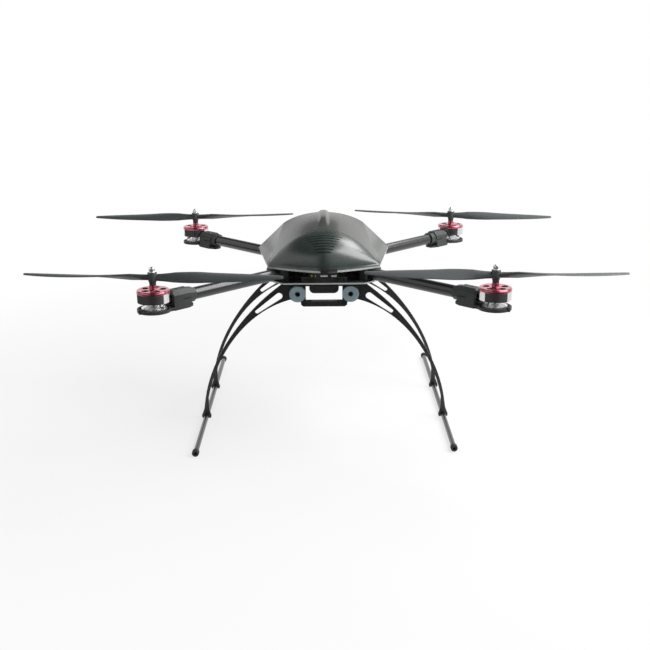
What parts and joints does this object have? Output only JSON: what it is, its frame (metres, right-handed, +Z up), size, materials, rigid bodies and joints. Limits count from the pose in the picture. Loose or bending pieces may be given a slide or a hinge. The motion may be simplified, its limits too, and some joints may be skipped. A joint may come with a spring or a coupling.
{
  "type": "quadcopter drone",
  "caption": "Multirotor drone with tube arms, outrunner motors, slim propellers, a lift-off canopy with a smoked visor, and tall skid landing gear round a payload bay.",
  "frame": {"origin": "on the ground under the middle of the square of motors, level with the undersides of the skid caps", "axes": "+Z up, the visor faces -Y, +X to the right of someone who looks at the visor"},
  "size_m": [0.8779, 0.5711, 0.3385],
  "materials": {
    "carbon_plate": "woven carbon plate, satin, pale cut edge",
    "carbon_tube": "polished carbon tube",
    "mount_nylon": "black filled nylon, fine grain",
    "leg_carbon": "satin black plate",
    "bare_aluminium": "turned, bright",
    "red_anodised": "red anodised, turned",
    "flux_steel": "black nickel plated, polished",
    "shaft_steel": "ground",
    "stator_steel": "lacquered laminations",
    "copper": "enamelled wire",
    "lead_insulation": "matt",
    "screw_black": "black oxide",
    "blade_nylon": "dark grey, satin",
    "damper_rubber": "blue-grey, matt",
    "cap_rubber": "matt black",
    "battery_wrap": "black shrink wrap",
    "strap_webbing": "woven webbing",
    "circuit_board": "solder mask",
    "white_nylon": "natural",
    "yellow_nylon": "moulded",
    "case_plastic": "black, fine grain",
    "canopy_grey": "grey lacquer, satin gloss",
    "visor_smoke": "smoked, glossy",
    "latch_black": "moulded"
  },
  "bodies": {
    "airframe": {"bottom_plate": "carbon_plate", "top_plate": "carbon_plate", "arm_front_left": "carbon_tube", "arm_front_right": "carbon_tube", "arm_rear_left": "carbon_tube", "arm_rear_right": "carbon_tube", "left_skid": "carbon_tube", "right_skid": "carbon_tube", "payload_rails": "carbon_tube", "motor_mount_front_left": "mount_nylon", "motor_mount_front_right": "mount_nylon", "motor_mount_rear_left": "mount_nylon", "motor_mount_rear_right": "mount_nylon", "arm_clamps": "mount_nylon", "front_leg_frame": "leg_carbon", "rear_leg_frame": "leg_carbon", "payload_bars": "leg_carbon", "motor_bases": "bare_aluminium", "plate_standoffs": "bare_aluminium", "leg_brackets": "bare_aluminium", "motor_bearings": "shaft_steel", "stator_cores": "stator_steel", "stator_coils": "copper", "motor_leads": "lead_insulation", "mount_screws": "screw_black", "frame_screws": "screw_black", "rail_dampers": "damper_rubber", "skid_caps": "cap_rubber", "battery": "battery_wrap", "battery_strap": "strap_webbing", "speed_controller": "circuit_board", "power_board": "circuit_board", "board_connectors": "white_nylon", "power_plug": "yellow_nylon", "flight_controller": "case_plastic", "receiver": "case_plastic", "gps_module": "case_plastic"},
    "canopy": {"canopy_shell": "canopy_grey", "canopy_visor": "visor_smoke", "canopy_latch": "latch_black"},
    "rotor_front_left": {"motor_cap_front_left": "red_anodised", "flux_ring_front_left": "flux_steel", "motor_shaft_front_left": "shaft_steel", "propeller_front_left": "blade_nylon", "prop_nut_front_left": "bare_aluminium"},
    "rotor_front_right": {"motor_cap_front_right": "red_anodised", "flux_ring_front_right": "flux_steel", "motor_shaft_front_right": "shaft_steel", "propeller_front_right": "blade_nylon", "prop_nut_front_right": "bare_aluminium"},
    "rotor_rear_left": {"motor_cap_rear_left": "red_anodised", "flux_ring_rear_left": "flux_steel", "motor_shaft_rear_left": "shaft_steel", "propeller_rear_left": "blade_nylon", "prop_nut_rear_left": "bare_aluminium"},
    "rotor_rear_right": {"motor_cap_rear_right": "red_anodised", "flux_ring_rear_right": "flux_steel", "motor_shaft_rear_right": "shaft_steel", "propeller_rear_right": "blade_nylon", "prop_nut_rear_right": "bare_aluminium"}
  },
  "joints": [
    {"name": "spin_front_left", "type": "hinge", "parent": "airframe", "child": "rotor_front_left", "pos_m": [-0.2484, -0.2484, 0.2698], "axis": [0, 0, 1], "continuous": true},
    {"name": "spin_front_right", "type": "hinge", "parent": "airframe", "child": "rotor_front_right", "pos_m": [0.2484, -0.2484, 0.2698], "axis": [0, 0, 1], "continuous": true},
    {"name": "spin_rear_left", "type": "hinge", "parent": "airframe", "child": "rotor_rear_left", "pos_m": [-0.2484, 0.2484, 0.2698], "axis": [0, 0, 1], "continuous": true},
    {"name": "spin_rear_right", "type": "hinge", "parent": "airframe", "child": "rotor_rear_right", "pos_m": [0.2484, 0.2484, 0.2698], "axis": [0, 0, 1], "continuous": true},
    {"name": "canopy_lift", "type": "slide", "parent": "airframe", "child": "canopy", "axis": [0, 0, 1], "range_m": [0, 0.12]}
  ]
}
